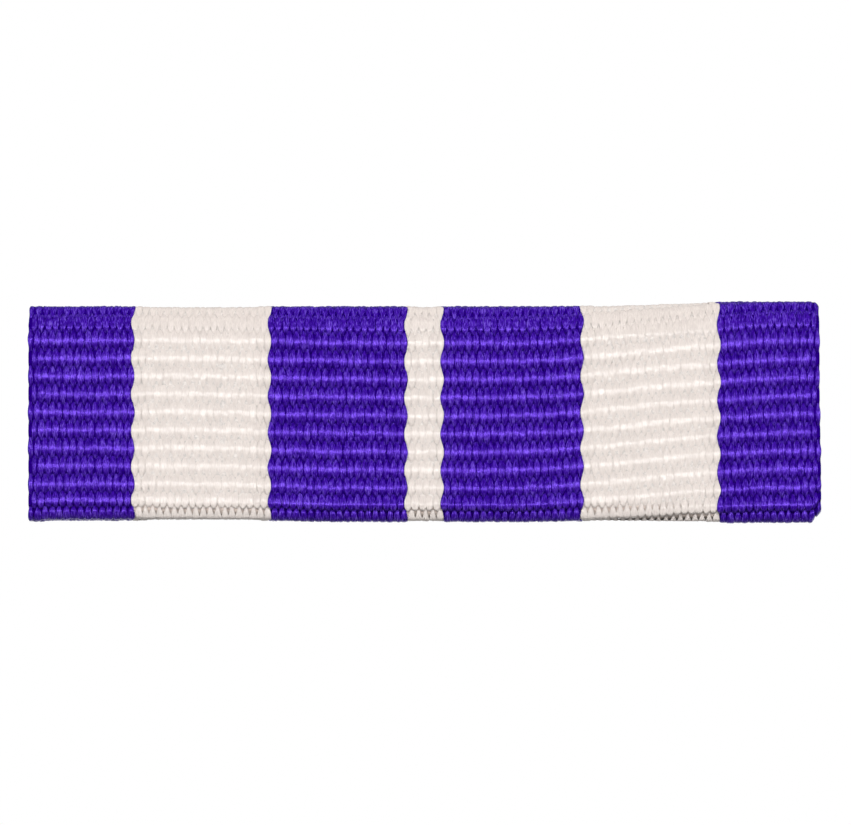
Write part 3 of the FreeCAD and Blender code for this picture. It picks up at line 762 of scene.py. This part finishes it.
def build_metal():
    holder = brass_material(
        "holder_brass", BRASS, DULL_BRASS, rough=0.34, marks=2600, drawn_out=(0.15, 1, 1))
    channel = brass_material(
        "channel_brass", BRASS, DULL_BRASS, rough=0.36, marks=2600, drawn_out=(0.15, 1, 1))
    core = brass_material(
        "core_brass", (0.66, 0.47, 0.20), DULL_BRASS, rough=0.42, marks=2200,
        drawn_out=(0.2, 1, 1))
    post = brass_material(
        "post_brass", (0.84, 0.62, 0.28), DULL_BRASS, rough=0.24, marks=3200,
        drawn_out=(1, 0.3, 1))
    clutch = brass_material(
        "clutch_brass", (0.86, 0.63, 0.27), (0.60, 0.41, 0.16), rough=0.26, marks=2400,
        drawn_out=(1, 1, 1))
    wing = brass_material(
        "wing_brass", (0.82, 0.64, 0.34), (0.55, 0.40, 0.19), rough=0.30, marks=2800,
        drawn_out=(0.2, 1, 1))
    materials = {
        "mounting_bar": holder,
        "slide_channel": channel,
        "core_bar": core,
        "post": post,
        "clutch_base": clutch,
        "clutch_cover": clutch,
        "wing": wing,
    }
    for name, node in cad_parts.items():
        for ending, material in materials.items():
            if name.endswith(ending):
                dress(node, material)


# ---------------------------------------------------------------- floor, light and camera

FLOOR_Z = -30.0
FLOOR_HALF = 70.0
WHITE = (1, 1, 1, 1)
# How bright the surroundings are to the camera, to gloss, and to everything else
SEEN_STRENGTH = 1.0
GLOSS_STRENGTH = 0.22
AMBIENT_STRENGTH = 0.37
LIGHTS_AIM = (0, -3, 0)

# The camera looks along +Y at the weave's face; the width in view there, and how far it
# stands aside and above the middle
FRAME_WIDTH = 37.48
LENS = 180.0
SENSOR = 36.0
FACE_DEPTH = 0.4
CAMERA_ASIDE = 0.066
CAMERA_ABOVE = 0.033


def build_floor():
    corners = FLOOR_HALF * np.array([[-1, -1, 0], [1, -1, 0], [1, 1, 0], [-1, 1, 0]], float)
    corners[:, 2] = FLOOR_Z
    floor = mesh_from_quads("floor", corners, np.array([[0, 1, 2, 3]]), smooth_shaded=False)
    dress(floor, floor_material())
    # the floor is for looking at: it throws no light up at the ribbon
    floor.visible_diffuse = False
    floor.visible_glossy = False


def area_light(name, place, size, watts, mirrored=True, scattered=True):
    light = bpy.data.lights.new(name, "AREA")
    light.shape = "RECTANGLE"
    light.size = size[0] * MM
    light.size_y = size[1] * MM
    light.energy = watts
    lamp = bpy.data.objects.new(name, light)
    lamp.visible_glossy = mirrored
    lamp.visible_diffuse = scattered
    lamp.location = Vector(place) * MM
    aim = Vector(LIGHTS_AIM) - Vector(place)
    lamp.rotation_euler = aim.to_track_quat("-Z", "Y").to_euler()
    bpy.context.scene.collection.objects.link(lamp)


def build_lights():
    area_light("key", place=(0, -245, 142), size=(260, 120), watts=0.72, mirrored=False)
    area_light("front", place=(0, -300, 8), size=(420, 24), watts=1.42, scattered=False)
    area_light("bounce", place=(0, -60, -250), size=(300, 200), watts=0.16, mirrored=False)
    area_light("back_fill", place=(60, 260, -110), size=(440, 200), watts=0.34)


def build_world():
    world = bpy.data.worlds.new("studio")
    bpy.context.scene.world = world
    world.use_nodes = True
    tree = world.node_tree
    tree.nodes.clear()
    seen, gloss, ambient = (
        add(tree, "ShaderNodeBackground", Color=WHITE, Strength=strength).outputs[0]
        for strength in (SEEN_STRENGTH, GLOSS_STRENGTH, AMBIENT_STRENGTH)
    )
    ray = add(tree, "ShaderNodeLightPath").outputs
    unseen = add(tree, "ShaderNodeMixShader", ray["Is Glossy Ray"], ambient, gloss)
    backdrop = add(tree, "ShaderNodeMixShader", ray["Is Camera Ray"], unseen.outputs[0], seen)
    add(tree, "ShaderNodeOutputWorld", backdrop.outputs[0])


def build_camera():
    data = bpy.data.cameras.new("camera")
    data.sensor_width = SENSOR
    data.lens = LENS
    data.clip_start = 0.01
    data.clip_end = 2.0
    camera = bpy.data.objects.new("camera", data)
    distance = FRAME_WIDTH * LENS / SENSOR
    face_y = ribbon_low[1] + FACE_DEPTH
    camera.location = Vector((CAMERA_ASIDE, face_y - distance, CAMERA_ABOVE)) * MM
    camera.rotation_euler = (math.radians(90), 0, 0)
    bpy.context.scene.collection.objects.link(camera)
    bpy.context.scene.camera = camera


bpy.context.scene.view_settings.view_transform = "Standard"
build_camera()
build_ribbon()
build_metal()
build_floor()
build_lights()
build_world()
